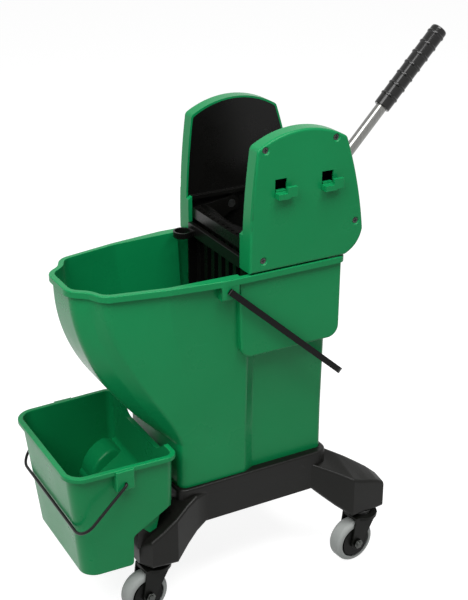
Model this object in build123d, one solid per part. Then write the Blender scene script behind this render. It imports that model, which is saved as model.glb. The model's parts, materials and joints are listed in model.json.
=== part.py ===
from build123d import *
import os
from math import acos, atan2, cos, pi, radians, sin, tan

# A wheeled mop bucket with a lever wringer. Lengths in millimetres, +Z up, +X to the rear
# where the handle is, -Y the left side of a person at the handle. Everything is laid out from
# the rear face of the wringer box, and the finished set is centred on its own length at the end.

# Clearances
run_gap = 0.05          # radial, pins and shafts in their bores
body_gap = 0.4          # between pieces that slide or swing past each other
seat_gap = 0.3          # under a piece that rests on another

# Casters
wheel_d = 75.0
wheel_w = 28.0
tyre_t = 9.0
tyre_shoulder = 7.5
hub_w = 30.0
axle_r = 5.0
axle_head_r = 8.5
axle_head_t = 5.0
caster_offset = 22.0    # from the swivel axis to the wheel axle
caster_yaw = 5.4        # wheels stand turned a little in plan
caster_h = 92.0         # floor to the foot
fork_t = 3.0
fork_crown_r = 26.0
fork_crown_t = 6.0
stem_r = 5.5
stem_len = 40.0
stem_collar_r = 15.0
stem_head_r = 8.0
front_caster_x = -200.0
front_caster_y = 97.0
rear_caster_x = 172.0
rear_caster_y = 134.0

# Chassis
deck_z = 200.0
deck_h = 62.0
deck_t = 5.0
deck_border_h = 5.0
deck_border_w = 7.0
foot_len = 62.0
foot_w = 54.0
foot_tip_h = 46.0
leg_crown = 16.0
leg_edge = 6.0
boss_wall = 9.0

# Main bucket
box_rear = 127.0        # rear face of the wringer box
box_len = 183.0
box_half = 112.5
box_h = 139.0
box_corner = 20.0
wall = 3.0
bucket_h = 356.0
base_len = 264.0        # lower part, front wall to rear wall
base_half = 97.0
base_step = 13.0        # the lower rear wall stands this far ahead of the box
jog_x = -36.0           # behind this the lower side walls step in
jog_in = 9.0
bow_reach = 144.0
bow_drop = 276.0
shoulder_reach = 112.0
spout_half = 37.0
top_half = 105.0
lip_out = 6.0
lip_rear_out = 5.5
lip_h = 10.0
lip_t = 4.5
lip_edge = 2.0            # rounding of the rim
boss_edge = 2.0
bail_boss_len = 30.0
bail_boss_h = 24.0

# Main bail
bail_pivot_ahead = 199.0    # ahead of the box's rear face
bail_pivot_drop = 20.0      # below the rim
bail_pin_r = 5.0
bail_reach = 275.0          # pivot to the far edge of the grip
bail_t = 5.0
bail_w = 10.0
bail_grip_w = 22.0
bail_grip_t = 5.5
bail_ribs = 9

# Small bucket
small_rim_z = 289.0
small_h = 189.0
small_len = 168.0
small_gap = 23.0            # from its rear wall to the main bucket's front wall
small_half = 118.0
small_draft = 11.0
small_front_draft = 19.0
small_step_len = 68.0
small_step_z = 155.0
small_step_rise = 45.0
small_wall = 2.5
small_lip_out = 6.0
small_lip_h = 7.0
small_lip_edge = 2.0
small_mouth_edge = 1.2
small_dip = 22.0
small_corner = 26.0

# Small wire bail
wire_r = 2.4
wire_pivot_ahead = 85.0     # ahead of the small bucket's rear wall
wire_pivot_drop = 23.0
wire_angle = 44.0           # hangs this far below level

# Wringer
cheek_in = 93.0             # inner face of a cheek from the middle
cheek_depth = 25.0          # a gear cover's depth
side_t = 4.0
cover_wall = 3.0
shelf_in = 8.0
shelf_h = 6.0
cheek_h = 214.0             # a cover's height above the rim at its crown
cheek_front = 167.0         # a cover's front edge, ahead of the box's rear face
cheek_lip_h = 62.0          # height of the lower, thicker part of the cheek's front
cover_corner = 9.0
cover_edge = 4.0
hook_hole = 20.0
hook_reach = 12.0
hook_finger = 5.5
hook_t = 9.0
screw_head_r = 4.4
screw_shank_r = 2.0
screw_recess = 5.0
screw_dish = 2.0            # the recess opens out by this much

# Gears
gear_module = 4.0
drive_teeth = 16
press_teeth = 27
gear_w = 8.0
gear_play = 0.5
drive_range = 75.0          # turn of the handle, degrees

# Shafts
shaft_r = 8.0
shaft_up = 38.0             # drive shaft above the rim
shaft_in = 1.0              # drive shaft ahead of the box's rear face
pin_r = 7.0
bush_wall = 3.0
bush_flange = 2.0

# Jaws, grid and crossbar
jaw_t = 8.0
jaw_ahead = 58.0            # middle of the moving jaw, ahead of its pivot
jaw_drop = 149.0
jaw_ledge = 19.0
jaw_ledge_t = 10.0
jaw_lip = 17.0
ridge_h = 6.0
jaw_slots = 7
jaw_slot_w = 13.0
jaw_arm_t = 6.5
grid_t = 4.0
grid_front = 118.0          # ends of the curved grid, degrees below level
grid_rear = 64.0
rear_jaw_t = 5.0
rear_jaw_lean = 28.0
rear_jaw_top = 18.0         # above the pivot
bar_t = 8.0
bar_h = 19.0
ring_r = 12.5
ring_wall = 3.0
ring_h = 10.0

# Handle
handle_lean = 43.1          # from upright
handle_len = 366.0          # shaft to the end of the grip
tube_r = 9.5
tube_t = 1.5
yoke_r = 17.0
yoke_w = 44.0
socket_r = 14.0
socket_len = 78.0
socket_floor = 26.0
bolt_r = 3.0
bolt_head_r = 5.5
bolt_head_t = 4.0
grip_r = 15.0               # over its rings
grip_len = 158.0
grip_rings = 7
grip_ring_h = 1.2
grip_ring_w = 3.4
grip_end_edge = 3.5

# Levels and places that follow
floor_z = deck_z + seat_gap
rim_z = floor_z + bucket_h
base_rear = box_rear - base_step
base_front = base_rear - base_len
box_front = box_rear - box_len
box_floor = rim_z - box_h
shaft_x = box_rear - shaft_in
shaft_z = rim_z + shaft_up
gear_span = gear_module * (drive_teeth + press_teeth) / 2
pivot_x = shaft_x - gear_span
pivot_z = shaft_z
cheek_out = cheek_in + cheek_depth
gear_in = cheek_in + side_t + bush_flange + body_gap
gear_out = gear_in + gear_w
pin_end = gear_out + 5.0


def box(x, y, z):
    # A block between the given (low, high) pairs.
    size = [b - a for a, b in (x, y, z)]
    middle = [(a + b) / 2 for a, b in (x, y, z)]
    return Pos(*middle) * Box(*size)


def rod_y(x, z, radius, low, high):
    return Pos(x, (low + high) / 2, z) * Rot(90, 0, 0) * Cylinder(radius, high - low)


def rod_z(x, y, radius, low, high):
    return Pos(x, y, (low + high) / 2) * Cylinder(radius, high - low)


def outline(corners):
    # A closed face with rounded corners, each corner given as (a, b, radius).
    points = [(a, b) for a, b, _ in corners]
    return make_face(FilletPolyline(*points, radius=[r for _, _, r in corners], close=True))


def across(face, low, high):
    # A side view (x, z) given thickness from y = low to y = high.
    return extrude(Plane.XZ.offset(-high) * face, high - low, dir=(0, -1, 0))


def upright(face, low, high):
    # A plan view (x, y) raised from z = low to z = high.
    return extrude(Pos(0, 0, low) * face, high - low, dir=(0, 0, 1))


def lengthwise(face, low, high):
    # A front view (y, z) given length from x = low to x = high.
    return extrude(Plane.YZ.offset(low) * face, high - low, dir=(1, 0, 0))


def symmetric(half):
    # Both sides of a plan outline from one side's corners, front to rear.
    near = [(x, -y, r) for x, y, r in half]
    far = [(x, y, r) for x, y, r in reversed(half)]
    return near + far


def inset(corners, distance):
    # The same outline moved inwards; corners run anticlockwise.
    moved = []
    count = len(corners)
    for i, (x, y, r) in enumerate(corners):
        before = Vector(*corners[i - 1][:2])
        here = Vector(x, y)
        after = Vector(*corners[(i + 1) % count][:2])
        into = (here - before).normalized()
        out = (after - here).normalized()
        normal_in = Vector(-into.Y, into.X)
        normal_out = Vector(-out.Y, out.X)
        miter = (normal_in + normal_out) * (distance / (1 + normal_in.dot(normal_out)))
        turn = into.X * out.Y - into.Y * out.X
        bend = max(r - distance if turn > 0 else r + distance, 0.0) if r else 0.0
        moved.append((x + miter.X, y + miter.Y, bend))
    return moved


def both_sides(right_piece):
    return {"right": right_piece, "left": mirror(right_piece, about=Plane.XZ)}


parts = {}


# Main bucket

def bow_fall(z):
    # 0 at the rim, 1 where the bow runs into the lower front wall.
    return min(max((rim_z - z) / bow_drop, 0.0), 1.0)


def hull_corners(z):
    fall = bow_fall(z)
    nose_x = base_front - 2 - bow_reach * (1 - fall ** 2.25)
    nose_y = spout_half + 23 * fall
    shoulder_x = base_front + 2 - shoulder_reach * max(1 - fall ** 2, 0.0) ** 1.6
    shoulder_y = top_half - 24 + (base_half - top_half + 23) * fall
    half = top_half + (base_half - top_half) * min((rim_z - z) / bow_drop, 1.0)
    notch = 9 * max(1 - fall / 0.5, 0.0) - 2.5
    notch_x = nose_x + 0.55 * (shoulder_x - nose_x) + notch * 0.6
    notch_y = nose_y + 0.55 * (shoulder_y - nose_y) - notch
    mid_x = shoulder_x + 0.42 * (jog_x - shoulder_x)
    mid_y = shoulder_y + 0.82 * (half - shoulder_y)
    return symmetric([
        (nose_x, nose_y, 24 - 10 * fall),
        (notch_x, notch_y, 34 - 22 * fall),
        (shoulder_x, shoulder_y, 24 - 10 * fall),
        (mid_x, mid_y, 40),
        (jog_x, half, 9),
        (jog_x + 2 * jog_in, half - jog_in, 9),
        (base_rear, half - jog_in, 8),
    ])


def hull(distance, low, high):
    # The boat-shaped body inset by a wall, open above and square below.
    steps = 7
    bow_low = rim_z - bow_drop
    levels = [bow_low + (high - bow_low) * i / (steps - 1) for i in range(steps)]
    faces = [Pos(0, 0, z) * outline(inset(hull_corners(z), distance)) for z in levels]
    lower = upright(outline(inset(hull_corners(bow_low), distance)), low, bow_low)
    return lower + loft(faces)


def rim_corners():
    edge = inset(hull_corners(rim_z), -lip_out)
    side = edge[:4]
    wide = box_half + lip_rear_out
    return symmetric([(x, -y, r) for x, y, r in side] + [
        (box_front - 22, wide, 30),
        (box_rear + lip_rear_out, wide, 14),
    ])


def box_body(distance, top):
    corners = [
        (box_front + distance, top, 0),
        (box_front + 5 + distance, box_floor + distance, box_corner - distance),
        (box_rear - 1 - distance, box_floor + distance, box_corner - distance),
        (box_rear - distance, top, 0),
    ]
    return across(outline(corners), -box_half + distance, box_half - distance)


bail_pivot_x = box_rear - bail_pivot_ahead
bail_pivot_z = rim_z - bail_pivot_drop
bail_boss_out = box_half + lip_rear_out - 0.3
bail_boss = box((bail_pivot_x - bail_boss_len / 2, bail_pivot_x + bail_boss_len / 2),
                (top_half - wall - 6, bail_boss_out),
                (bail_pivot_z - bail_boss_h / 2, rim_z - lip_t))
bail_boss = fillet(bail_boss.faces().sort_by(Axis.Y)[-1].edges(), boss_edge)
bail_hole = rod_y(bail_pivot_x, bail_pivot_z, bail_pin_r + run_gap,
                  bail_boss_out - 11, bail_boss_out + 1)

rim_outer = rim_corners()
rim = upright(outline(rim_outer), rim_z - lip_h, rim_z)
rim = fillet(rim.faces().sort_by(Axis.Z)[-1].edges(), lip_edge)
rim -= upright(outline(inset(rim_outer, wall)), rim_z - lip_h - 1, rim_z - lip_t)
box_outer = box_body(0, rim_z)
box_outer = fillet(box_outer.faces().filter_by(Axis.Y).edges().filter_by(
    lambda e: e.bounding_box().max.Z < rim_z - 1 or e.bounding_box().size.Z > 1), 4)
main_bucket = hull(0, floor_z, rim_z) + box_outer + rim
main_bucket += bail_boss + mirror(bail_boss, about=Plane.XZ)
main_bucket -= hull(wall, floor_z + wall, rim_z) + upright(
    outline(inset(hull_corners(rim_z), wall)), rim_z, rim_z + 1)
main_bucket -= box_body(wall, rim_z + 1)
main_bucket -= bail_hole + mirror(bail_hole, about=Plane.XZ)
parts["main_bucket"] = main_bucket


# Main bail

bail_in = box_half + lip_rear_out + body_gap
bail_out = bail_in + bail_t
bail_inner = bail_reach - bail_grip_w
bail_slant = atan2(bail_grip_t / 2, bail_inner)
bail_lean = acos((base_rear + seat_gap - bail_pivot_x) * cos(bail_slant) / bail_inner) - bail_slant
bail_plane = Plane(origin=(bail_pivot_x, 0, bail_pivot_z), x_dir=(cos(bail_lean), 0, -sin(bail_lean)),
                   z_dir=(sin(bail_lean), 0, cos(bail_lean)))
bail_bend = 18.0
bail_loop = outline([
    (-bail_w / 2, -bail_out, bail_w / 3), (bail_reach, -bail_out, bail_bend),
    (bail_reach, bail_out, bail_bend), (-bail_w / 2, bail_out, bail_w / 3),
])
bail_window = outline([
    (-bail_w, -bail_in, 0), (bail_inner, -bail_in, bail_bend - bail_t),
    (bail_inner, bail_in, bail_bend - bail_t), (-bail_w, bail_in, 0),
])
bail_strap = extrude(bail_plane.offset(-bail_w / 2) * (bail_loop - bail_window), bail_w)
bail_strap -= bail_plane * box((bail_inner - bail_bend, bail_reach + 1), (-bail_in, bail_in),
                               (bail_grip_t / 2, bail_w))
bail_strap -= bail_plane * box((bail_inner - bail_bend, bail_reach + 1), (-bail_in, bail_in),
                               (-bail_w, -bail_grip_t / 2))
rib_pitch = 2 * bail_in / (bail_ribs + 3)
for i in range(bail_ribs):
    rib_y = (i - (bail_ribs - 1) / 2) * rib_pitch
    bail_strap += bail_plane * box((bail_inner + 3, bail_reach - 3), (rib_y - 2, rib_y + 2),
                                   (bail_grip_t / 2 - 0.5, bail_grip_t / 2 + 1.5))
bail_pin = rod_y(bail_pivot_x, bail_pivot_z, bail_pin_r, bail_boss_out - 10, bail_in + 1)
parts["main_bail"] = bail_strap + bail_pin + mirror(bail_pin, about=Plane.XZ)


# Small bucket

small_rear = base_front - small_gap
small_front = small_rear - small_len
small_low = small_rim_z - small_h
small_flare = 3.0


def small_plan(z, distance):
    drop = (small_rim_z - z) / small_h
    half = small_half - small_draft * drop
    return inset(symmetric([
        (small_front + small_front_draft * drop, half - small_flare, small_corner),
        (small_rear, half + small_flare, small_corner / 2),
    ]), distance)


def small_body(distance, top):
    low = small_low
    shape = loft([Pos(0, 0, z) * outline(small_plan(z, distance)) for z in (low, top)])
    side = inset([
        (small_front - 30, low, 0),
        (small_rear - small_step_len, low, 6),
        (small_rear - small_step_len, small_step_z, 10),
        (small_rear, small_step_z + small_step_rise, 14),
        (small_rear, top + distance, 0),
        (small_front - 30, top + distance, 0),
    ], distance)
    return shape & across(outline(side), -small_half * 2, small_half * 2)


def dip_face(drop):
    # Front view of the dip in the rear rim.
    low = small_rim_z - drop
    top = small_rim_z + 10
    flat = small_half * 0.5
    wide = flat + 30
    return outline([
        (-wide, top, 0), (-wide, small_rim_z, 8), (-flat, low, 25),
        (flat, low, 25), (wide, small_rim_z, 8), (wide, top, 0),
    ])


slant_slope = small_step_rise / small_step_len
cradle_y = (front_caster_y - foot_w / 2 + 10, front_caster_y + foot_w / 2 - 18)
cradle_x = front_caster_x - 12.0
cradle_z = small_step_z - 5.0


def slant_z(x):
    # Height of the small bucket's slanted underside.
    return small_step_z + (x - small_rear + small_step_len) * slant_slope


foot_front = cradle_x - (slant_z(cradle_x) - cradle_z) / (1 + slant_slope)
foot_rear = cradle_x + 20.0
small_foot = across(make_face(Polyline(
    (foot_front, slant_z(foot_front)), (cradle_x, cradle_z), (cradle_x + 12, cradle_z + 5),
    (foot_rear, slant_z(foot_rear)), (foot_rear, slant_z(foot_rear) + 1.5),
    (foot_front, slant_z(foot_front) + 1.5), close=True)), *cradle_y)
small_lip_out_face = outline(inset(small_plan(small_rim_z, 0), -small_lip_out))
small_lip = upright(small_lip_out_face, small_rim_z - small_lip_h, small_rim_z)
small_lip = fillet(small_lip.faces().sort_by(Axis.Z)[-1].edges(), small_lip_edge)
small_lip -= lengthwise(dip_face(small_dip), small_rear - 1, small_rear + small_lip_out + 1)
dip_band = lengthwise(dip_face(small_dip + 4) - dip_face(small_dip),
                      small_rear - small_wall, small_rear + small_lip_out)
dip_band &= upright(small_lip_out_face, small_low, small_rim_z)
wire_x = small_rear - wire_pivot_ahead
wire_z = small_rim_z - wire_pivot_drop
small_boss_out = small_half + small_flare + small_lip_out + 1.0
small_boss = box((wire_x - 15, wire_x + 15), (small_half - small_draft, small_boss_out),
                 (wire_z - 12, small_rim_z - 1))
small_boss = fillet(small_boss.faces().sort_by(Axis.Y)[-1].edges(), boss_edge)
wire_hole = rod_y(wire_x, wire_z, wire_r + run_gap, small_boss_out - 6, small_boss_out + 1)
small_bucket = small_body(0, small_rim_z) + small_lip
small_bucket += small_boss + mirror(small_boss, about=Plane.XZ)
small_bucket -= small_body(small_wall, small_rim_z + 1)
small_mouth = outline(small_plan(small_rim_z, small_wall - 1))
small_top = small_bucket.edges().filter_by_position(Axis.Z, small_rim_z - 0.01, small_rim_z + 0.01)
small_bucket = fillet([
    edge for edge in small_top if small_mouth.is_inside(Vector((edge @ 0.5).X, (edge @ 0.5).Y))
], small_mouth_edge)
small_bucket -= lengthwise(dip_face(small_dip), small_rear - small_wall - 1, small_rear + 1)
small_bucket += dip_band + small_foot + mirror(small_foot, about=Plane.XZ)
small_bucket -= wire_hole + mirror(wire_hole, about=Plane.XZ)
parts["small_bucket"] = small_bucket


# Small wire bail

wire_bend = 1.6 * wire_r
wire_y = small_boss_out + body_gap + wire_bend
wire_drop = radians(wire_angle)
wall_slope = small_front_draft / small_h
wire_reach = (wire_x - small_front - wall_slope * wire_pivot_drop + wire_r + seat_gap + 0.5) / (
    cos(wire_drop) + wall_slope * sin(wire_drop))
hang_x = wire_x - wire_reach * cos(wire_drop)
hang_z = wire_z - wire_reach * sin(wire_drop)
wire_end = small_boss_out - 5
wire_path = FilletPolyline(
    (wire_x, -wire_end, wire_z), (wire_x, -wire_y, wire_z), (hang_x, -wire_y, hang_z),
    (hang_x, wire_y, hang_z), (wire_x, wire_y, wire_z), (wire_x, wire_end, wire_z),
    radius=[wire_bend, 28, 28, wire_bend])
wire_start = Plane(origin=(wire_x, -wire_end, wire_z), z_dir=(0, -1, 0))
parts["small_bail"] = sweep(wire_start * Circle(wire_r), path=wire_path)


# Chassis

deck_low = deck_z - deck_h
deck_half = base_half + deck_border_w
deck_front = base_front - deck_border_w - 1
deck_rear = base_rear + deck_border_w + 1
deck_plan = symmetric([(deck_front, deck_half, 18), (deck_rear, deck_half, 22)])
toe_top = caster_h + foot_tip_h


front_toe = front_caster_x + 1 - foot_len / 2
rear_toe = rear_caster_x + foot_len / 2
front_in = front_caster_y - foot_w / 2
front_out = front_caster_y + foot_w / 2 + 4
rear_in = rear_caster_y - foot_w / 2
rear_out = rear_caster_y + foot_w / 2 - 8

# Sections of the right legs from the deck out to the toe: x, inside, outside, low, inner top, outer top
front_leg = [
    (deck_front + 70, deck_half - 74, deck_half - 1, deck_low + 1, deck_z - 8, deck_z - 10),
    (deck_front + 54, deck_half - 64, deck_half - 1, deck_low + 1, deck_z - 6, deck_z - 8),
    (deck_front + 27, front_in - 14, deck_half + 8, deck_low - 11, deck_z - 5, deck_z - 7),
    (deck_front + 8, front_in - 7, deck_half + 15, caster_h + 21, deck_z - 10, deck_z - 14),
    (front_caster_x + 27, front_in, front_out, caster_h, deck_z - 21, deck_z - 27),
    (front_caster_x + 5, front_in, front_out - 2, caster_h, toe_top + 14, toe_top + 18),
    (front_toe + 14, front_in, front_out - 4, caster_h, toe_top + 6, toe_top + 3),
    (front_toe, front_in + 4, front_out - 24, caster_h + 2, toe_top - 6, toe_top - 10),
]
rear_leg = [
    (deck_rear - 60, deck_half - 84, deck_half - 1, deck_low + 1, deck_z - 8, deck_z - 14),
    (deck_rear - 36, deck_half - 74, deck_half - 1, deck_low + 1, deck_z - 5, deck_z - 15),
    (deck_rear - 18, deck_half - 68, deck_half + 13, deck_low - 16, deck_z - 5, deck_z - 22),
    (deck_rear, deck_half - 60, deck_half + 27, deck_low - 32, deck_z - 6, deck_z - 29),
    (rear_caster_x - 30, rear_in - 38, rear_out, caster_h, deck_z - 11, deck_z - 37),
    (rear_caster_x - 14, rear_in - 28, rear_out - 0.5, caster_h, deck_z - 18, toe_top + 19),
    (rear_caster_x + 2, rear_in - 18, rear_out - 1, caster_h, deck_z - 28, toe_top + 15),
    (rear_toe - 13, rear_in - 8, rear_out - 1.5, caster_h, toe_top + 23, toe_top + 10),
    (rear_toe, rear_in, rear_out - 2, caster_h + 1, toe_top + 11, toe_top + 3),
]


def leg(sections, distance=0.0):
    # Upright sections joined into one arched beam, or with a wall distance, its open cavity.
    faces = []
    for x, inside, outside, low, inner_top, outer_top in sections:
        base = low - 5 * distance
        faces.append(Plane(origin=(x, 0, 0), x_dir=(0, 1, 0), z_dir=(1, 0, 0)) * outline([
            (inside + distance, base, leg_edge), (outside - distance, base, leg_edge),
            (outside - distance, outer_top - distance, leg_edge - distance),
            (inside + distance, inner_top - distance, leg_crown - distance),
        ]))
    return loft(faces, ruled=True)


right_legs = leg(front_leg) + leg(rear_leg)
cradle = across(make_face(Polyline(
    (foot_front - 6, toe_top - 12), (foot_front - 6, slant_z(foot_front) - 6),
    (foot_front + 3, slant_z(foot_front) - 3 - seat_gap * 2), (cradle_x, cradle_z - seat_gap * 2),
    (cradle_x + 12, cradle_z + 5 - seat_gap * 2), (cradle_x + 40, cradle_z - 12),
    (cradle_x + 40, toe_top - 12), close=True)), *cradle_y)
deck = upright(outline(deck_plan), deck_low, deck_z + deck_border_h)
chassis = fillet(deck.faces().sort_by(Axis.Z)[-1].edges(), deck_border_h - 1)
chassis += right_legs + mirror(right_legs, about=Plane.XZ)
right_hollow = leg(front_leg[:-1], deck_t) + leg(rear_leg[:-1], deck_t)
chassis -= right_hollow + mirror(right_hollow, about=Plane.XZ)
chassis -= upright(outline(inset(deck_plan, deck_t)), deck_low - 1, deck_z - deck_t)
chassis -= upright(outline(inset(hull_corners(floor_z), -1.0)), deck_z, deck_z + deck_border_h + 1)
stem_boss_r = stem_r + boss_wall
right_bosses = rod_z(front_caster_x, front_caster_y, stem_boss_r, caster_h, deck_z) & leg(front_leg)
right_bosses += rod_z(rear_caster_x, rear_caster_y, stem_boss_r, caster_h, deck_z) & leg(rear_leg)
chassis += right_bosses + mirror(right_bosses, about=Plane.XZ)
chassis += cradle + mirror(cradle, about=Plane.XZ)

caster_places = {
    "front_right": (front_caster_x, front_caster_y, -caster_yaw),
    "front_left": (front_caster_x, -front_caster_y, caster_yaw),
    "rear_right": (rear_caster_x, rear_caster_y, -caster_yaw),
    "rear_left": (rear_caster_x, -rear_caster_y, caster_yaw),
}
for x, y, _ in caster_places.values():
    chassis -= rod_z(x, y, stem_r, caster_h - 1, caster_h + stem_len - 4)
parts["chassis"] = chassis


# Casters

wheel_r = wheel_d / 2
hub_r = wheel_r - tyre_t
fork_in = hub_w / 2 + 0.5
fork_out = fork_in + fork_t
crown_low = wheel_d + 5.0
crown_top = crown_low + fork_crown_t
axle_x = -caster_offset


def caster_pieces():
    stem = rod_z(0, 0, stem_r, crown_low - 3.5, caster_h + stem_len - 5)
    stem += rod_z(0, 0, stem_head_r, crown_low - 3.5, crown_low - run_gap)
    stem += rod_z(0, 0, stem_collar_r, crown_top + seat_gap, caster_h)

    prong = make_face(Polyline(
        (-fork_crown_r, crown_top), (fork_crown_r - 6, crown_top), (axle_x + 11, wheel_r - 4),
        (axle_x - 11, wheel_r - 4), close=True)) + Pos(axle_x, wheel_r) * Circle(11)
    fork = across(prong, fork_in, fork_out) + across(prong, -fork_out, -fork_in)
    crown = Circle(fork_crown_r) + Pos(-6, 0) * Rectangle(2 * fork_crown_r - 12, 2 * fork_out)
    fork += upright(crown, crown_low, crown_top)
    fork -= rod_z(0, 0, stem_r + run_gap, crown_low - 1, crown_top + 1)
    fork -= rod_y(axle_x, wheel_r, axle_r + 0.02, -fork_out - 1, fork_out + 1)

    axle = rod_y(axle_x, wheel_r, axle_r, -fork_out - 7, fork_out + 1)
    axle += rod_y(axle_x, wheel_r, axle_head_r, fork_out, fork_out + axle_head_t)
    nut = extrude(Plane.XZ.offset(fork_out) * Pos(axle_x, wheel_r) * RegularPolygon(axle_head_r, 6),
                  axle_head_t)
    axle += nut

    tyre_half = wheel_w / 2
    tyre_face = outline([
        (hub_r, -tyre_half, 0), (wheel_r, -tyre_half, tyre_shoulder),
        (wheel_r, tyre_half, tyre_shoulder), (hub_r, tyre_half, 0)])
    tyre = Pos(axle_x, 0, wheel_r) * Rot(90, 0, 0) * revolve(Plane.XZ * tyre_face, Axis.Z)
    hub = rod_y(axle_x, wheel_r, hub_r, -tyre_half + 3, tyre_half - 3)
    hub += rod_y(axle_x, wheel_r, hub_r - 3, -tyre_half, tyre_half)
    hub += rod_y(axle_x, wheel_r, axle_r + 5, -hub_w / 2, hub_w / 2)
    hub -= rod_y(axle_x, wheel_r, axle_r + run_gap, -hub_w, hub_w)
    return {"caster_stem": stem, "caster_fork": fork, "caster_axle": axle,
            "wheel_hub": hub, "tyre": tyre}


for place, (x, y, yaw) in caster_places.items():
    for piece, solid in caster_pieces().items():
        parts[f"{piece}_{place}"] = Pos(x, y, 0) * Rot(0, 0, yaw) * solid


# Gear covers and side plates of the wringer

cover_low = rim_z + 2.0
cover_front = box_rear - cheek_front
top_front = cover_front + 12
top_rear = shaft_x
lip_top = rim_z + cheek_lip_h
shoulder_z = rim_z + cheek_h - 22


def cover_face(distance):
    # Side view of a cover, moved inwards by a wall; corners run anticlockwise from the lower front.
    ends = inset([
        (cover_front, cover_low, 0), (shaft_x + 3, cover_low, 0), (shaft_x + 34, shaft_z + 3, 0),
        (top_rear, shoulder_z, 0), (top_front, shoulder_z, 0),
    ], distance)
    bulges = [
        (shaft_x + 23, shaft_z - 22), (shaft_x + 22, (shoulder_z + shaft_z) / 2),
        ((top_front + top_rear) / 2, rim_z + cheek_h), (cover_front + 2, cover_low + 88),
    ]
    points = [Vector(x, z) for x, z, _ in ends]
    edges = [Line(points[0], points[1])]
    for start, bulge, end in zip(points[1:], bulges, points[2:] + points[:1]):
        along = (end - start).normalized()
        middle = Vector(*bulge) + Vector(-along.Y, along.X) * distance
        edges.append(ThreePointArc(start, middle, end))
    face = make_face(edges)
    corners = [v for v in face.vertices() if v.Y > shoulder_z - 12]
    return fillet(corners, cover_corner - distance)


screw_spots = [
    (cover_front + 25, shoulder_z - 2), (top_rear - 20, shoulder_z + 1),
    (shaft_x + 20, shaft_z + 17), (cover_front + 23, cover_low + 17),
]
screw_floor = cheek_out - screw_recess
hook_spots = [(cover_front + 41, rim_z + 124), (cover_front + 122, rim_z + 124)]
side_out = cheek_in + side_t
shelf_y = cheek_in - shelf_in

cover = across(cover_face(0), cheek_in, cheek_out)
cover = fillet(cover.faces().sort_by(Axis.Y)[-1].edges(), cover_edge)
cover -= across(cover_face(cover_wall), cheek_in - 1, cheek_out - cover_wall)
cover -= box((cover_front + cover_wall, shaft_x + 4), (cheek_in - 1, cheek_out - cover_wall),
             (cover_low - 1, cover_low + cover_wall + 1))
cover += across(outline([
    (cover_front, cover_low, 0), (cover_front + 7, cover_low, 0), (cover_front + 7, lip_top, 0),
    (cover_front, lip_top - 5, 0)]), shelf_y, cheek_in)
for x, z in screw_spots:
    cover += rod_y(x, z, screw_head_r + 3, side_out, cheek_out - cover_wall)
for x, z in screw_spots:
    cover -= rod_y(x, z, screw_head_r + 0.4, screw_floor, cheek_out + 1)
    dish = Cone(screw_head_r + 0.4, screw_head_r + 0.4 + 2 * screw_dish, 2 * screw_dish)
    cover -= Pos(x, cheek_out, z) * Rot(-90, 0, 0) * dish
    cover -= rod_y(x, z, screw_shank_r + run_gap, side_out - 1, cheek_out)
for x, radius in ((shaft_x, shaft_r), (pivot_x, pin_r)):
    cover += rod_y(x, shaft_z, radius + 4, gear_out + 1, cheek_out - cover_wall)
    cover -= rod_y(x, shaft_z, radius + run_gap, gear_out, pin_end + 0.5)
hooks = []
face_in = cheek_out - cover_wall
hook_out = cheek_out + hook_reach
for x, z in hook_spots:
    cover -= box((x, x + hook_hole), (face_in - 1, cheek_out + 1), (z, z + hook_hole))
    hook = box((x, x + hook_hole), (cheek_out, hook_out), (z - hook_t, z))
    hook += box((x + hook_hole - 5, x + hook_hole + 12), (hook_out - hook_finger, hook_out),
                (z - hook_t + 2, z + hook_t))
    hook += box((x + 2, x + hook_hole - 2), (face_in - 3, cheek_out + 1), (z, z + 3))
    hook += box((x + 2, x + hook_hole - 2), (face_in - 3, face_in), (z - 4, z))
    hooks.append(hook)

panel_front = cover_front + cover_wall + 1
panel_rear = shaft_x - 14
panel_low = box_floor + wall + seat_gap
panel_corner = box_corner - 6
side = across(cover_face(cover_wall + 0.3), cheek_in, side_out)
side += across(outline([
    (panel_front, panel_low, panel_corner), (panel_rear, panel_low, panel_corner),
    (panel_rear, cover_low + 8, 0), (panel_front, cover_low + 8, 0)]), cheek_in, side_out)
side += box((panel_front + 8, panel_rear - 6), (cheek_in, box_half - wall - 1.5),
            (panel_low, panel_low + 4))
side += box((cover_front + 7.3, pivot_x + 30), (shelf_y, cheek_in), (lip_top - shelf_h, lip_top))
for x, radius in ((shaft_x, shaft_r), (pivot_x, pin_r)):
    side -= rod_y(x, shaft_z, radius + bush_wall, cheek_in - 1, side_out + 1)
for x, z in screw_spots:
    side -= rod_y(x, z, screw_shank_r, cheek_in + 1, side_out + 1)

screws = None
for x, z in screw_spots:
    screw = rod_y(x, z, screw_head_r, screw_floor, screw_floor + 3)
    screw += rod_y(x, z, screw_shank_r, cheek_in + 1.2, screw_floor + 1)
    screw -= box((x - 3, x + 3), (screw_floor + 1.6, screw_floor + 4), (z - 0.6, z + 0.6))
    screw -= box((x - 0.6, x + 0.6), (screw_floor + 1.6, screw_floor + 4), (z - 3, z + 3))
    screws = screw if screws is None else screws + screw


def bush(x, radius):
    ring = rod_y(x, shaft_z, radius + bush_wall, cheek_in, side_out)
    ring += rod_y(x, shaft_z, radius + bush_wall + 3, side_out, side_out + bush_flange)
    return ring - rod_y(x, shaft_z, radius + run_gap, cheek_in - 1, gear_in + 1)


bushes = bush(shaft_x, shaft_r) + bush(pivot_x, pin_r)


# Gears

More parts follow.
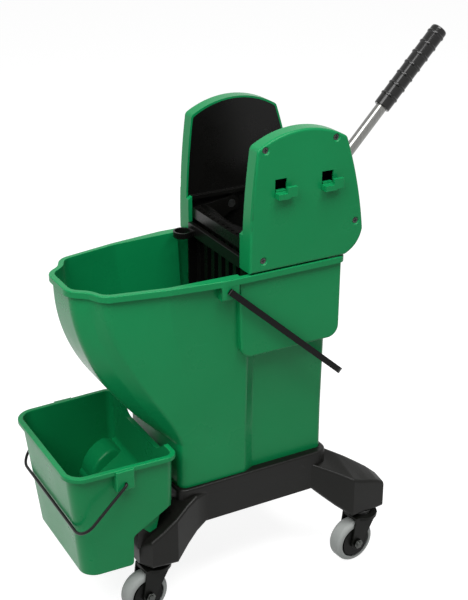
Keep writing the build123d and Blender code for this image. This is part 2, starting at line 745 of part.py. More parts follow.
def gear_face(teeth, bearing, first, last, hub_r):
    # A sector of involute teeth numbered first to last anticlockwise from the bearing (degrees).
    pitch_r = gear_module * teeth / 2
    base_r = pitch_r * cos(radians(20))
    tip_r = pitch_r + gear_module
    root_r = pitch_r - 1.25 * gear_module
    half_tooth = (pi * gear_module / 2 - gear_play) / (2 * pitch_r)
    pressure = radians(20)
    flank = []
    steps = 5
    for i in range(steps + 1):
        radius = base_r + (tip_r - base_r) * i / steps
        angle = acos(min(base_r / radius, 1.0))
        flank.append((radius, half_tooth + tan(pressure) - pressure - tan(angle) + angle))
    flank.insert(0, (root_r, flank[0][1]))
    points = [(0, 0)]
    for k in range(first, last + 1):
        middle = radians(bearing) + 2 * pi * k / teeth
        points += [(r * cos(middle - a), r * sin(middle - a)) for r, a in flank]
        points += [(r * cos(middle + a), r * sin(middle + a)) for r, a in reversed(flank)]
    return make_face(Polyline(*points, close=True)) + Circle(hub_r)


def gear(face, x, bore):
    solid = across(Pos(x, shaft_z) * face, gear_in, gear_out)
    return solid - rod_y(x, shaft_z, bore, gear_in - 1, gear_out + 1)


press_pitch = 360 / press_teeth
drive_gear = gear(gear_face(drive_teeth, 180, -1, 4, shaft_r + 6), shaft_x, shaft_r)
press_gear = gear(gear_face(press_teeth, press_pitch / 2, -5, 0, pin_r + 7), pivot_x, pin_r)


# Jaws, drain grid and crossbar

jaw_half = cheek_in - 0.7
ledge_half = shelf_y - 0.7
jaw_front = pivot_x - jaw_ahead - jaw_t / 2
jaw_rear = jaw_front + jaw_t
jaw_top = pivot_z + 6
jaw_low = pivot_z - jaw_drop
ledge_front = jaw_rear - jaw_ledge
slot_pitch = 2 * (jaw_half - 8) / jaw_slots

jaw = box((jaw_front, jaw_rear), (-jaw_half, jaw_half), (jaw_low, jaw_top - 1))
for i in range(jaw_slots):
    slot_y = (i - (jaw_slots - 1) / 2) * slot_pitch
    jaw -= box((jaw_front - 1, jaw_rear + 1), (slot_y - jaw_slot_w / 2, slot_y + jaw_slot_w / 2),
               (jaw_low + 12, pivot_z - 24))
jaw += box((ledge_front, jaw_rear), (-ledge_half, ledge_half), (jaw_top - jaw_ledge_t, jaw_top))
jaw += box((ledge_front, ledge_front + 4), (-ledge_half, ledge_half),
           (jaw_top - jaw_lip, jaw_top - jaw_ledge_t))
hole_pitch = 2 * ledge_half / 11
for i in range(10):
    hole_y = (i - 4.5) * hole_pitch
    jaw -= rod_z(ledge_front + 6.5, hole_y, 2.6, jaw_top - 6, jaw_top + 1)
crest = Spline((-ledge_half, jaw_top + 1.5), (-0.6 * ledge_half, jaw_top + ridge_h),
               (-0.2 * ledge_half, jaw_top + 2), (0.2 * ledge_half, jaw_top + 2),
               (0.6 * ledge_half, jaw_top + ridge_h), (ledge_half, jaw_top + 1.5))
ridge_face = make_face(crest + Polyline((ledge_half, jaw_top + 1.5), (ledge_half, jaw_top - 2),
                                        (-ledge_half, jaw_top - 2), (-ledge_half, jaw_top + 1.5)))
jaw += lengthwise(ridge_face, jaw_rear - 4, jaw_rear)
arm_in = jaw_half - jaw_arm_t
arm_face = make_face(Polyline(
    (pivot_x, pivot_z + 12), (jaw_rear - 1, jaw_top - 1), (jaw_rear - 1, pivot_z - 50),
    (pivot_x, pivot_z - 12), close=True)) + Pos(pivot_x, pivot_z) * Circle(pin_r + 6)
arm = across(arm_face, arm_in, jaw_half)
jaw += arm + mirror(arm, about=Plane.XZ)
jaw -= rod_y(pivot_x, pivot_z, pin_r, -cheek_in, cheek_in)
parts["press_jaw"] = jaw

grid_r = ((jaw_ahead + jaw_t / 2) ** 2 + jaw_drop ** 2) ** 0.5 + 2.0


def grid_point(radius, angle):
    return pivot_x + radius * cos(radians(angle)), pivot_z - radius * sin(radians(angle))



def grid_arc(radius):
    return [grid_point(radius, a) for a in (grid_front, (grid_front + grid_rear) / 2, grid_rear)]


grid_in = grid_arc(grid_r)
grid_out = grid_arc(grid_r + grid_t)
grid_face = make_face([
    ThreePointArc(*grid_in), Line(grid_in[-1], grid_out[-1]),
    ThreePointArc(*reversed(grid_out)), Line(grid_out[0], grid_in[0]),
])
grid = across(grid_face, -cheek_in, cheek_in)
grid_rows = 6
for row in range(grid_rows):
    angle = grid_rear + (grid_front - grid_rear) * (row + 0.5) / grid_rows
    x, z = grid_point(grid_r + grid_t / 2, angle)
    for i in range(5):
        grid -= Pos(x, (i - 2) * 35, z) * Rot(0, angle, 0) * Box(4 * grid_t, 26, 8)
parts["drain_grid"] = grid

rear_x, rear_z = grid_point(grid_r, grid_rear)
rear_top_x = rear_x - rear_jaw_lean
rear_top_z = pivot_z + rear_jaw_top
rear_jaw = across(make_face(Polyline(
    (rear_x, rear_z), (rear_x + rear_jaw_t, rear_z), (rear_top_x + rear_jaw_t, rear_top_z),
    (rear_top_x, rear_top_z), close=True)), -cheek_in, cheek_in)
for i in range(jaw_slots):
    slot_y = (i - (jaw_slots - 1) / 2) * slot_pitch
    rear_jaw -= box((rear_top_x - 1, rear_x + rear_jaw_t + 1),
                    (slot_y - jaw_slot_w / 2, slot_y + jaw_slot_w / 2), (rear_z + 20, rear_top_z - 22))
parts["rear_jaw"] = rear_jaw

bar_rear = cover_front + 7
bar_front = bar_rear - bar_t
bar_low = rim_z + 1
bar = box((bar_front, bar_rear), (-shelf_y, shelf_y), (bar_low, bar_low + bar_h))
ring_out = ring_r + ring_wall
ring_x = bar_front - ring_out + 1
ring_y = shelf_y - 9
bar += rod_z(ring_x, ring_y, ring_out, bar_low, bar_low + ring_h)
bar += box((ring_x, bar_front + 1), (ring_y - ring_out * 0.7, ring_y + ring_out * 0.5),
           (bar_low, bar_low + ring_h))
bar -= rod_z(ring_x, ring_y, ring_r, bar_low - 1, bar_low + bar_h)
parts["front_crossbar"] = bar


# Drive shaft, pivot pins and handle

parts["drive_shaft"] = rod_y(shaft_x, shaft_z, shaft_r, -pin_end, pin_end)
press_pin = rod_y(pivot_x, pivot_z, pin_r, arm_in, pin_end)

handle_place = Pos(shaft_x, 0, shaft_z) * Rot(0, handle_lean, 0)
tube_low = socket_floor + seat_gap
tube_top = handle_len - 10
grip_low = handle_len - grip_len
bolt_z = (socket_floor + socket_len) / 2


def rod_up(radius, low, high):
    return Pos(0, 0, (low + high) / 2) * Cylinder(radius, high - low)


bolt_hole = Pos(0, 0, bolt_z) * Rot(90, 0, 0) * Cylinder(bolt_r + run_gap, 4 * socket_r)
yoke = Rot(90, 0, 0) * Cylinder(yoke_r, yoke_w) + rod_up(socket_r, 0, socket_len)
yoke -= rod_up(tube_r, socket_floor, socket_len + 1)
yoke -= bolt_hole
yoke -= Rot(90, 0, 0) * Cylinder(shaft_r, 2 * yoke_w)
tube = rod_up(tube_r, tube_low, tube_top) - bolt_hole
tube -= rod_up(tube_r - tube_t, tube_low - 1, tube_top + 1)
bolt = Rot(90, 0, 0) * Cylinder(bolt_r, 2 * socket_r + 2 * bolt_head_t)
bolt += Pos(0, socket_r + bolt_head_t / 2, 0) * Rot(90, 0, 0) * Cylinder(bolt_head_r, bolt_head_t)
bolt += extrude(Plane.XZ.offset(socket_r) * RegularPolygon(bolt_head_r, 6), bolt_head_t)
grip = rod_up(grip_r - grip_ring_h, grip_low, handle_len)
grip = fillet(grip.edges().sort_by(Axis.Z)[-1], grip_end_edge)
ring_pitch = grip_len / (grip_rings + 0.6)
for i in range(grip_rings):
    ring = grip_low + (i + 1) * ring_pitch
    grip += fillet(rod_up(grip_r, ring - grip_ring_w / 2, ring + grip_ring_w / 2).edges(), grip_ring_h - 0.2)
grip -= rod_up(tube_r, grip_low - 1, tube_top + seat_gap)
for node, solid in {"handle_yoke": yoke, "handle_tube": tube, "handle_grip": grip,
                    "yoke_bolt": Pos(0, 0, bolt_z) * bolt}.items():
    parts[node] = handle_place * solid

sided = {
    "gear_cover": cover, "wringer_side": side, "side_hooks": hooks[0] + hooks[1],
    "cover_screws": screws, "shaft_bushes": bushes,
    "drive_gear": drive_gear, "press_gear": press_gear, "press_pin": press_pin,
}
for piece, solid in sided.items():
    for hand, copy in both_sides(solid).items():
        parts[f"{piece}_{hand}"] = copy


# Centre the set on its length and write each piece

low_x = min(solid.bounding_box().min.X for solid in parts.values())
high_x = max(solid.bounding_box().max.X for solid in parts.values())
centre_x = (low_x + high_x) / 2

os.makedirs("parts", exist_ok=True)
for node, solid in parts.items():
    export_step(Pos(-centre_x, 0, 0) * solid, f"parts/{node}.step")
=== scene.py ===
import bmesh
import bpy
import json
from math import cos, pi, radians, sin
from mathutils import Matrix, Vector


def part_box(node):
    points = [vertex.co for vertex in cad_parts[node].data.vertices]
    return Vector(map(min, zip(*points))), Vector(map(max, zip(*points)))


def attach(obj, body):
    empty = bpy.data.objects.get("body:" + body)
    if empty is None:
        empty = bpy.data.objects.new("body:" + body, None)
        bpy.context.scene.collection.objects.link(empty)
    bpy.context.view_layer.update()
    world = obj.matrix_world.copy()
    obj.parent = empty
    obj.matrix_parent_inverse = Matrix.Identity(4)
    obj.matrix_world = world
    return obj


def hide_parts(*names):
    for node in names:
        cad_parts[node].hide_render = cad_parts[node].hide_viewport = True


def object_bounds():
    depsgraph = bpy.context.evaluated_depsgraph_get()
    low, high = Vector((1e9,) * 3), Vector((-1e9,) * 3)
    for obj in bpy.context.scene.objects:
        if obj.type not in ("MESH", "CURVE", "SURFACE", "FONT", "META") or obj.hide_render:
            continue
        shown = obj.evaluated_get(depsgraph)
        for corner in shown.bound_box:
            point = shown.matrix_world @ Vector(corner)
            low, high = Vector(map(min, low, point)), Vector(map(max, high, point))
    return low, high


# Mop bucket with a lever wringer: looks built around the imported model.
# Metres, +Z up, +X towards the handle, -Y the side nearest the camera.

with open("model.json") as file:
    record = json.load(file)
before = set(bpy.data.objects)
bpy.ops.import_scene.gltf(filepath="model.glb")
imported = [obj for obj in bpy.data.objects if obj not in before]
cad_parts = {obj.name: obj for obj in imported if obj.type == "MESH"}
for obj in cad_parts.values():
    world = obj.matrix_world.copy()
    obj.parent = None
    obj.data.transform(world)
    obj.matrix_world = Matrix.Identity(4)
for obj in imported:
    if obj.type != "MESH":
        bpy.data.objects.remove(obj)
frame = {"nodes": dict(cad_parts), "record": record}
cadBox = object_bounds()
nodes = frame["nodes"]
record = frame["record"]
bodyOf = {node: body for body, members in record["behaviour"]["bodies"].items() for node in members}
print("frame loaded:", len(nodes), "nodes")


def middle(node):
    low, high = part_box(node)
    return (low + high) / 2


shaftCentre = middle("drive_shaft")  # the grip and the camera are placed from here
handleLean = radians(43.1)  # how far the handle leans back from upright


# Colours and node helpers

def srgb(red, green, blue):
    channels = [c / 255 for c in (red, green, blue)]
    linear = [c / 12.92 if c <= 0.04045 else ((c + 0.055) / 1.055) ** 2.4 for c in channels]
    return (*linear, 1.0)


def newMaterial(name):
    material = bpy.data.materials.new(name)
    material.use_nodes = True
    tree = material.node_tree
    return material, tree, tree.nodes["Principled BSDF"]


def addNode(tree, kind, **settings):
    node = tree.nodes.new(kind)
    for key, value in settings.items():
        if key in node.inputs:
            node.inputs[key].default_value = value
        else:
            setattr(node, key, value)
    return node


def objectPoint(tree, scale=(1, 1, 1), turn=(0, 0, 0)):
    coord = addNode(tree, "ShaderNodeTexCoord")
    mapping = addNode(tree, "ShaderNodeMapping", Scale=scale, Rotation=turn)
    tree.links.new(coord.outputs["Object"], mapping.inputs["Vector"])
    return mapping.outputs["Vector"]


def noise(tree, point, scale, detail=2.0, rough=0.5):
    texture = addNode(tree, "ShaderNodeTexNoise", Scale=scale, Detail=detail, Roughness=rough)
    tree.links.new(point, texture.inputs["Vector"])
    return texture.outputs["Fac"]


def spread(tree, value, low, high, toLow=0.0, toHigh=1.0):
    remap = addNode(tree, "ShaderNodeMapRange")
    remap.inputs["From Min"].default_value = low
    remap.inputs["From Max"].default_value = high
    remap.inputs["To Min"].default_value = toLow
    remap.inputs["To Max"].default_value = toHigh
    tree.links.new(value, remap.inputs["Value"])
    return remap.outputs["Result"]


# A Mix node has a set of sockets for each data type, and these are the colours' ones
colourSockets = {"first": 6, "second": 7, "result": 2}


def blendColours(tree, share, first, second):
    mix = addNode(tree, "ShaderNodeMix", data_type="RGBA")
    tree.links.new(share, mix.inputs["Factor"])
    for place, colour in (("first", first), ("second", second)):
        socket = mix.inputs[colourSockets[place]]
        if isinstance(colour, tuple):
            socket.default_value = colour
        else:
            tree.links.new(colour, socket)
    return mix.outputs[colourSockets["result"]]


def addBump(tree, shader, height, depth):
    bump = addNode(tree, "ShaderNodeBump", Strength=1.0, Distance=depth)
    tree.links.new(height, bump.inputs["Height"])
    tree.links.new(bump.outputs["Normal"], shader.inputs["Normal"])


# Finishes

noiseSpan = (0.3, 0.7)         # where most of a noise texture's values lie
scratchSpan = (0.66, 0.74)     # only its high values become scratches
scratchTurn = (0.3, 0.5, 0.2)  # radians, so that scratches run aslant
glossFineness = 2.3            # how much finer the patches of gloss are than those of colour


def mouldedPlastic(name, finish):
    material, tree, shader = newMaterial(name)
    point = objectPoint(tree)
    patches = spread(tree, noise(tree, point, finish["patchScale"], detail=3), *noiseSpan)
    body = blendColours(tree, patches, finish["colour"], finish["paler"])
    scratchPoint = objectPoint(tree, finish["scratchStretch"], scratchTurn)
    streaks = noise(tree, scratchPoint, finish["scratchScale"], detail=4, rough=0.6)
    scratches = spread(tree, streaks, *scratchSpan, 0.0, finish["scratchShare"])
    tree.links.new(blendColours(tree, scratches, body, finish["scuffed"]), shader.inputs["Base Color"])
    gloss = noise(tree, point, finish["patchScale"] * glossFineness, detail=4)
    tree.links.new(spread(tree, gloss, *noiseSpan, *finish["roughness"]), shader.inputs["Roughness"])
    shader.inputs["Specular IOR Level"].default_value = finish["specular"]
    shader.inputs["Sheen Weight"].default_value = finish["sheen"]
    shader.inputs["Sheen Roughness"].default_value = finish["sheenRoughness"]
    addBump(tree, shader, noise(tree, point, finish["grainScale"]), finish["grainDepth"])
    return material


greenFinish = {
    "colour": srgb(8, 118, 66),
    "paler": srgb(11, 123, 70),
    "scuffed": srgb(40, 140, 92),
    "patchScale": 7.0,
    "scratchStretch": (3.0, 3.0, 60.0),
    "scratchScale": 6.0,
    "scratchShare": 0.25,
    "roughness": (0.26, 0.34),
    "specular": 0.14,
    "sheen": 0.02,
    "sheenRoughness": 0.35,
    "grainScale": 900.0,
    "grainDepth": 0.00006,
}
blackFinish = {
    "colour": srgb(13, 13, 11),
    "paler": srgb(18, 18, 16),
    "scuffed": srgb(62, 62, 60),
    "patchScale": 9.0,
    "scratchStretch": (4.0, 40.0, 4.0),
    "scratchScale": 6.0,
    "scratchShare": 0.25,
    "roughness": (0.32, 0.4),
    "specular": 0.16,
    "sheen": 0.0,
    "sheenRoughness": 0.4,
    "grainScale": 700.0,
    "grainDepth": 0.00014,
}
wringerFinish = dict(blackFinish, colour=srgb(9, 9, 8), paler=srgb(12, 12, 11), scratchShare=0.12,
                     roughness=(0.24, 0.32), specular=0.18, grainDepth=0.00005)
bailFinish = dict(blackFinish, colour=srgb(8, 8, 8), paler=srgb(11, 11, 10), roughness=(0.2, 0.26),
                  specular=0.1, grainDepth=0.00004)
wheelFinish = dict(blackFinish, colour=srgb(9, 10, 9), paler=srgb(13, 14, 13), specular=0.08)
tyreFinish = dict(blackFinish, colour=srgb(134, 138, 136), paler=srgb(146, 149, 147),
                  scuffed=srgb(112, 112, 108), scratchShare=0.4, roughness=(0.5, 0.62))
gripFinish = dict(blackFinish, colour=srgb(9, 9, 9), paler=srgb(13, 13, 12), scuffed=srgb(34, 34, 33),
                  scratchShare=0.08, roughness=(0.12, 0.16), specular=0.36, grainDepth=0.00001)
bushFinish = dict(blackFinish, colour=srgb(214, 210, 198), paler=srgb(226, 222, 212),
                  scuffed=srgb(180, 176, 164))
gearFinish = dict(blackFinish, colour=srgb(84, 84, 82), paler=srgb(94, 94, 92), scuffed=srgb(120, 120, 116))


def grainedMetal(name, finish):
    material, tree, shader = newMaterial(name)
    point = objectPoint(tree, finish["grainStretch"], (0, finish["turn"], 0))
    lines = noise(tree, point, finish["grainScale"], detail=3)
    tone = blendColours(tree, spread(tree, lines, *noiseSpan), finish["colour"], finish["paler"])
    tree.links.new(tone, shader.inputs["Base Color"])
    tree.links.new(spread(tree, lines, *noiseSpan, *finish["roughness"]), shader.inputs["Roughness"])
    shader.inputs["Metallic"].default_value = finish["metallic"]
    shader.inputs["Specular IOR Level"].default_value = finish["specular"]
    addBump(tree, shader, lines, finish["grainDepth"])
    return material


tubeFinish = {
    "colour": srgb(118, 118, 116),
    "paler": srgb(140, 140, 137),
    "turn": -handleLean,                # lays the grain along the handle
    "grainStretch": (60.0, 60.0, 2.0),
    "grainScale": 12.0,
    "roughness": (0.1, 0.18),
    "metallic": 1.0,
    "specular": 0.5,
    "grainDepth": 0.00002,
}
steelFinish = dict(tubeFinish, colour=srgb(104, 105, 104), paler=srgb(128, 129, 128), turn=0.0,
                   grainStretch=(20.0, 20.0, 20.0), roughness=(0.28, 0.4))
screwFinish = dict(steelFinish, colour=srgb(58, 60, 58), paler=srgb(78, 80, 78), roughness=(0.2, 0.3))
forkFinish = dict(steelFinish, colour=srgb(11, 12, 10), paler=srgb(15, 16, 14), metallic=0.0, specular=0.1,
                  grainStretch=(30.0, 30.0, 30.0), roughness=(0.36, 0.46))
wireFinish = dict(forkFinish, colour=srgb(14, 15, 14), paler=srgb(19, 20, 19), specular=0.16,
                  roughness=(0.26, 0.36))

finishes = {
    "green": mouldedPlastic("green satin polypropylene", greenFinish),
    "black": mouldedPlastic("black grained polypropylene", blackFinish),
    "bail": mouldedPlastic("black bail nylon", bailFinish),
    "wringer": mouldedPlastic("black wringer nylon", wringerFinish),
    "wheel": mouldedPlastic("black wheel nylon", wheelFinish),
    "tyre": mouldedPlastic("grey tyre rubber", tyreFinish),
    "grip": mouldedPlastic("black grip rubber", gripFinish),
    "bush": mouldedPlastic("cream bush acetal", bushFinish),
    "gear": mouldedPlastic("grey gear acetal", gearFinish),
    "tube": grainedMetal("bright handle tube", tubeFinish),
    "steel": grainedMetal("zinc plated steel", steelFinish),
    "screw": grainedMetal("dark plated screw steel", screwFinish),
    "fork": grainedMetal("black pressed steel", forkFinish),
    "wire": grainedMetal("black coated wire", wireFinish),
}
print("materials:", len(finishes))

nodeFinish = {  # start of a node's name, and its finish
    "main_bucket": "green", "small_bucket": "green", "gear_cover": "green", "side_hooks": "green",
    "chassis": "black", "handle_yoke": "black", "main_bail": "bail",
    "wringer_side": "wringer", "press_jaw": "wringer", "drain_grid": "wringer", "rear_jaw": "wringer",
    "front_crossbar": "wringer", "wheel_hub": "wheel", "tyre": "tyre", "handle_grip": "grip",
    "shaft_bushes": "bush", "drive_gear": "gear", "press_gear": "gear", "handle_tube": "tube",
    "caster_stem": "steel", "yoke_bolt": "steel", "drive_shaft": "steel", "press_pin": "steel",
    "cover_screws": "screw", "caster_axle": "screw", "caster_fork": "fork", "small_bail": "wire",
}


def finishOf(node):
    starts = [start for start in nodeFinish if node.startswith(start)]
    return finishes[nodeFinish[max(starts, key=len)]]


for node, solid in nodes.items():
    solid.data.materials.clear()
    solid.data.materials.append(finishOf(node))


# Pieces

mergeGap = 0.000002  # corners closer than this become one


def addPiece(name, bm, node, stands=True, crease=38.0):
    mesh = bpy.data.meshes.new(name)
    bm.to_mesh(mesh)
    bm.free()
    mesh.shade_smooth()
    mesh.set_sharp_from_angle(angle=radians(crease))
    mesh.materials.append(finishOf(node))
    piece = bpy.data.objects.new(name, mesh)
    bpy.context.scene.collection.objects.link(piece)
    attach(piece, bodyOf[node])
    if stands:
        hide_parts(node)
    return piece


def roundEdges(bm, edges, size, steps):
    bmesh.ops.bevel(bm, geom=edges, offset=size, offset_type="OFFSET", segments=steps, profile=0.5,
                    affect="EDGES", clamp_overlap=True, material=-1)


# Moulded, pressed and turned pieces whose sharp edges get a small round
plainEdge = {
    "turn": 40.0,      # least angle between an edge's faces, in degrees
    "shortest": 0.0,   # least length of an edge
    "depth": 1.0,      # greatest depth of an edge below the node's top
    "steps": 2,
}
softEdges = {
    "main_bucket": dict(plainEdge, size=0.0014, turn=30.0, depth=0.0006),
    "press_jaw": dict(plainEdge, size=0.0012),
    "front_crossbar": dict(plainEdge, size=0.0012),
    "rear_jaw": dict(plainEdge, size=0.0012),
    "wringer_side": dict(plainEdge, size=0.0012),
    "main_bail": dict(plainEdge, size=0.002, shortest=0.06),
    "handle_yoke": dict(plainEdge, size=0.0016),
    "caster_fork": dict(plainEdge, size=0.0007),
    "side_hooks": dict(plainEdge, size=0.0008),
    "caster_axle": dict(plainEdge, size=0.0006),
    "cover_screws": dict(plainEdge, size=0.0003),
    "yoke_bolt": dict(plainEdge, size=0.0005),
    "chassis": dict(plainEdge, size=0.004, turn=24.0),
}
flatTurn = 0.6  # degrees: faces that turn less than this become one


def softCopy(node, edge):
    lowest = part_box(node)[1].z - edge["depth"]
    bm = bmesh.new()
    bm.from_mesh(nodes[node].data)
    bmesh.ops.remove_doubles(bm, verts=bm.verts, dist=mergeGap)
    bmesh.ops.dissolve_limit(bm, angle_limit=radians(flatTurn), verts=bm.verts, edges=bm.edges)
    sharp = [line for line in bm.edges if len(line.link_faces) == 2
             and line.calc_face_angle(0) > radians(edge["turn"]) and line.calc_length() > edge["shortest"]
             and min(corner.co.z for corner in line.verts) > lowest]
    roundEdges(bm, sharp, edge["size"], edge["steps"])
    piece = addPiece("soft_" + node, bm, node)
    weighted = piece.modifiers.new("even shading", "WEIGHTED_NORMAL")
    weighted.keep_sharp = True


for start, edge in softEdges.items():
    for node in nodes:
        if node.startswith(start):
            softCopy(node, edge)
print("edges softened:", ", ".join(softEdges))


# Ringed grip on the handle's end
gripShape = {
    "start": 0.208,            # along the handle from the drive shaft
    "end": 0.366,
    "body": 0.0138,            # radius between the rings
    "chamfer": 0.001,          # of the edge at the start
    "endRound": ((0.0, 0.004), (0.0007, 0.0016), (0.0022, 0.0003), (0.004, 0.0)),  # in from body and end
    "ring": 0.015,             # radius over the rings
    "rings": 7,
    "firstRing": 0.021,        # from the start
    "ringPitch": 0.0207,
    "ringHalf": 0.0026,        # half a ring's width at its foot
    "shoulderHalf": 0.00143,   # and where it begins to curve in
    "crownHalf": 0.00052,      # and where it is highest
    "crownDrop": 0.0002,       # from there to the shoulder
    "steps": 48,
    "crease": 14.0,
}


def spinProfile(profile, axis, centre, steps):
    bm = bmesh.new()
    corners = [bm.verts.new(point) for point in profile]
    edges = [bm.edges.new(pair) for pair in zip(corners, corners[1:])]
    bmesh.ops.spin(bm, geom=corners + edges, cent=centre, axis=axis, angle=2 * pi, steps=steps,
                   use_merge=True)
    bmesh.ops.remove_doubles(bm, verts=bm.verts, dist=mergeGap)
    bmesh.ops.recalc_face_normals(bm, faces=bm.faces)
    return bm


def makeGrip(shape):
    along = Vector((sin(handleLean), 0, cos(handleLean)))
    aside = Vector((cos(handleLean), 0, -sin(handleLean)))
    start, end, body, ring = shape["start"], shape["end"], shape["body"], shape["ring"]
    shoulder = ring - shape["crownDrop"]
    rise = [(body, shape["ringHalf"]), (shoulder, shape["shoulderHalf"]), (ring, shape["crownHalf"])]
    outline = [(0, start), (body - shape["chamfer"], start), (body, start + shape["chamfer"])]
    for i in range(shape["rings"]):
        place = start + shape["firstRing"] + i * shape["ringPitch"]
        outline += [(radius, place - half) for radius, half in rise]
        outline += [(radius, place + half) for radius, half in reversed(rise)]
    outline += [(body - inward, end - back) for inward, back in shape["endRound"]]
    outline.append((0, end))
    profile = [shaftCentre + aside * radius + along * height for radius, height in outline]
    grip = spinProfile(profile, along, shaftCentre, shape["steps"])
    addPiece("ringed_grip", grip, "handle_grip", crease=shape["crease"])


makeGrip(gripShape)
print("grip made")


# Rounded arches on the small bucket's slanted floor, one over each front leg
archShape = {  # lengths from the bucket's middle, heights from its foot
    "crest": ((0.019, 0.059), (0.024, 0.076), (0.035, 0.09), (0.049, 0.1), (0.061, 0.104), (0.071, 0.1015),
              (0.08, 0.096)),
    "floor": ((0.018, 0.058), (0.08, 0.0955)),  # front and rear of the floor under the arch
    "sink": 0.001,                              # of its foot below the floor
    "inside": 0.07,
    "draft": 0.004,                             # of the inner face, from crest to floor
    "outside": (0.1095, 0.1125),                # the bucket's wall at the floor's front and at the crest
    "round": 0.004,
    "roundSteps": 4,
    "crease": 50.0,
}


def makeArch(shape, name, side):
    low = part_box("small_bucket")[0]
    centre = middle("small_bucket")
    (frontX, frontZ), (rearX, rearZ) = shape["floor"]
    lowWall, highWall = shape["outside"]
    inside = shape["inside"]
    crestZ = max(z for x, z in shape["crest"])
    bm = bmesh.new()
    rows = []
    for x, z in shape["crest"]:
        floorZ = frontZ + (rearZ - frontZ) * (x - frontX) / (rearX - frontX) - shape["sink"]
        wall = lowWall + (highWall - lowWall) * (z - frontZ) / (crestZ - frontZ)
        corners = ((inside - shape["draft"], floorZ), (inside, z), (wall, z), (wall, floorZ))
        rows.append([bm.verts.new((centre.x + x, side * y, low.z + height)) for y, height in corners])
    loops = [[bm.edges.new((row[i - 1], row[i])) for i in range(len(row))] for row in rows]
    for first, second in zip(loops, loops[1:]):
        bmesh.ops.bridge_loops(bm, edges=first + second)
    bmesh.ops.holes_fill(bm, edges=loops[0] + loops[-1])
    bmesh.ops.recalc_face_normals(bm, faces=bm.faces)
    crest = [bm.edges.get((first[1], second[1])) for first, second in zip(rows, rows[1:])]
    roundEdges(bm, crest, shape["round"], shape["roundSteps"])
    addPiece(name, bm, "small_bucket", stands=False, crease=shape["crease"])


makeArch(archShape, "floor_arch_left", -1)
makeArch(archShape, "floor_arch_right", 1)
print("floor arches made")


# Floor, light and camera

stageSet = {
    "floorSize": 24.0,
    "floorColour": (0.6, 0.6, 0.6, 1.0),      # what the floor throws back on the object
    "shadowColour": (0.36, 0.36, 0.36, 1.0),  # the share of the seen floor that keeps the shadow
    "whiteShare": (0.88, 0.88, 0.88, 1.0),    # the share that is white by itself
    "worldStrength": 0.22,                    # what the world lights the object with
}


def seenRays(tree):
    path = addNode(tree, "ShaderNodeLightPath")
    first = addNode(tree, "ShaderNodeMath", operation="MAXIMUM")
    seen = addNode(tree, "ShaderNodeMath", operation="MAXIMUM")
    tree.links.new(path.outputs["Is Camera Ray"], first.inputs[0])
    tree.links.new(path.outputs["Is Glossy Ray"], first.inputs[1])
    tree.links.new(first.outputs["Value"], seen.inputs[0])
    tree.links.new(path.outputs["Is Transmission Ray"], seen.inputs[1])
    return seen.outputs["Value"]


def floorMaterial():
    material, tree, shader = newMaterial("pale studio floor")
    tree.nodes.remove(shader)
    plain = addNode(tree, "ShaderNodeBsdfDiffuse", Color=stageSet["floorColour"])
    shaded = addNode(tree, "ShaderNodeBsdfDiffuse", Color=stageSet["shadowColour"])
    white = addNode(tree, "ShaderNodeEmission", Color=stageSet["whiteShare"], Strength=1.0)
    both = addNode(tree, "ShaderNodeAddShader")
    tree.links.new(shaded.outputs["BSDF"], both.inputs[0])
    tree.links.new(white.outputs["Emission"], both.inputs[1])
    mix = addNode(tree, "ShaderNodeMixShader")
    tree.links.new(seenRays(tree), mix.inputs["Fac"])
    tree.links.new(plain.outputs["BSDF"], mix.inputs[1])
    tree.links.new(both.outputs["Shader"], mix.inputs[2])
    tree.links.new(mix.outputs["Shader"], tree.nodes["Material Output"].inputs["Surface"])
    return material


def makeFloor():
    bm = bmesh.new()
    bmesh.ops.create_grid(bm, x_segments=1, y_segments=1, size=stageSet["floorSize"] / 2)
    mesh = bpy.data.meshes.new("floor")
    bm.to_mesh(mesh)
    bm.free()
    mesh.materials.append(floorMaterial())
    floor = bpy.data.objects.new("floor", mesh)
    bpy.context.scene.collection.objects.link(floor)


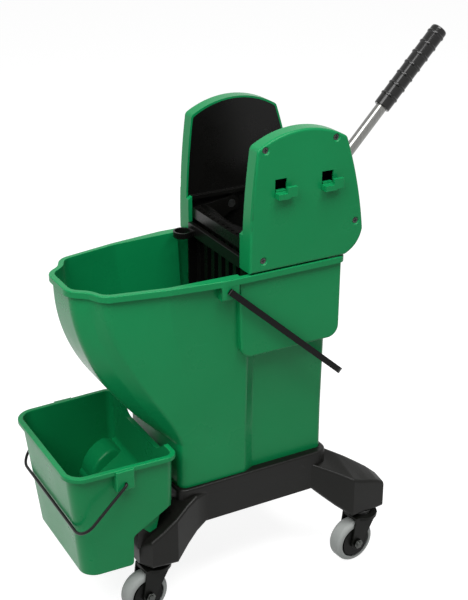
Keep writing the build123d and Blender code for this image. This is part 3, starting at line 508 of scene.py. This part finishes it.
def makeWorld():
    world = bpy.data.worlds.new("studio")
    bpy.context.scene.world = world
    world.use_nodes = True
    tree = world.node_tree
    back = tree.nodes["Background"]
    back.inputs["Color"].default_value = (1.0, 1.0, 1.0, 1.0)
    strength = spread(tree, seenRays(tree), 0.0, 1.0, stageSet["worldStrength"], 1.0)
    tree.links.new(strength, back.inputs["Strength"])


lamps = {  # place from the object's middle, side of the square panel, power
    "keySoftbox": {"place": (-1.2, -0.6, 1.5), "side": 1.3, "power": 36.0},
    "topSoftbox": {"place": (0.2, -1.0, 2.3), "side": 1.3, "power": 50.0},
    "sidePanel": {"place": (-2.0, 1.5, 0.5), "side": 1.6, "power": 4.0},
}


def makeLamps(target):
    for name, panel in lamps.items():
        light = bpy.data.lights.new(name, "AREA")
        light.shape = "SQUARE"
        light.size = panel["side"]
        light.energy = panel["power"]
        lamp = bpy.data.objects.new(name, light)
        lamp.location = target + Vector(panel["place"])
        lamp.rotation_euler = (target - lamp.location).to_track_quat("-Z", "Y").to_euler()
        lamp.visible_camera = False
        bpy.context.scene.collection.objects.link(lamp)


cameraSet = {  # the photograph's view
    "azimuth": -28.74,
    "elevation": 24.05,
    "distance": 2.0004,
    "lens": 74.57,    # millimetres, as is the sensor
    "sensor": 36.0,
    "target": (-0.12889, 0.0, -0.13095),  # from the drive shaft
}


def makeCamera():
    azimuth = radians(cameraSet["azimuth"])
    elevation = radians(cameraSet["elevation"])
    back = Vector((sin(azimuth) * cos(elevation), -cos(azimuth) * cos(elevation), sin(elevation)))
    target = shaftCentre + Vector(cameraSet["target"])
    camera = bpy.data.objects.new("camera", bpy.data.cameras.new("camera"))
    camera.data.lens = cameraSet["lens"]
    camera.data.sensor_width = cameraSet["sensor"]
    camera.location = target + back * cameraSet["distance"]
    camera.rotation_euler = (-back).to_track_quat("-Z", "Y").to_euler()
    bpy.context.scene.collection.objects.link(camera)
    bpy.context.scene.camera = camera


makeFloor()
makeWorld()
makeLamps((cadBox[0] + cadBox[1]) / 2)
makeCamera()
bpy.context.scene.view_settings.view_transform = "Standard"
print("stage ready")
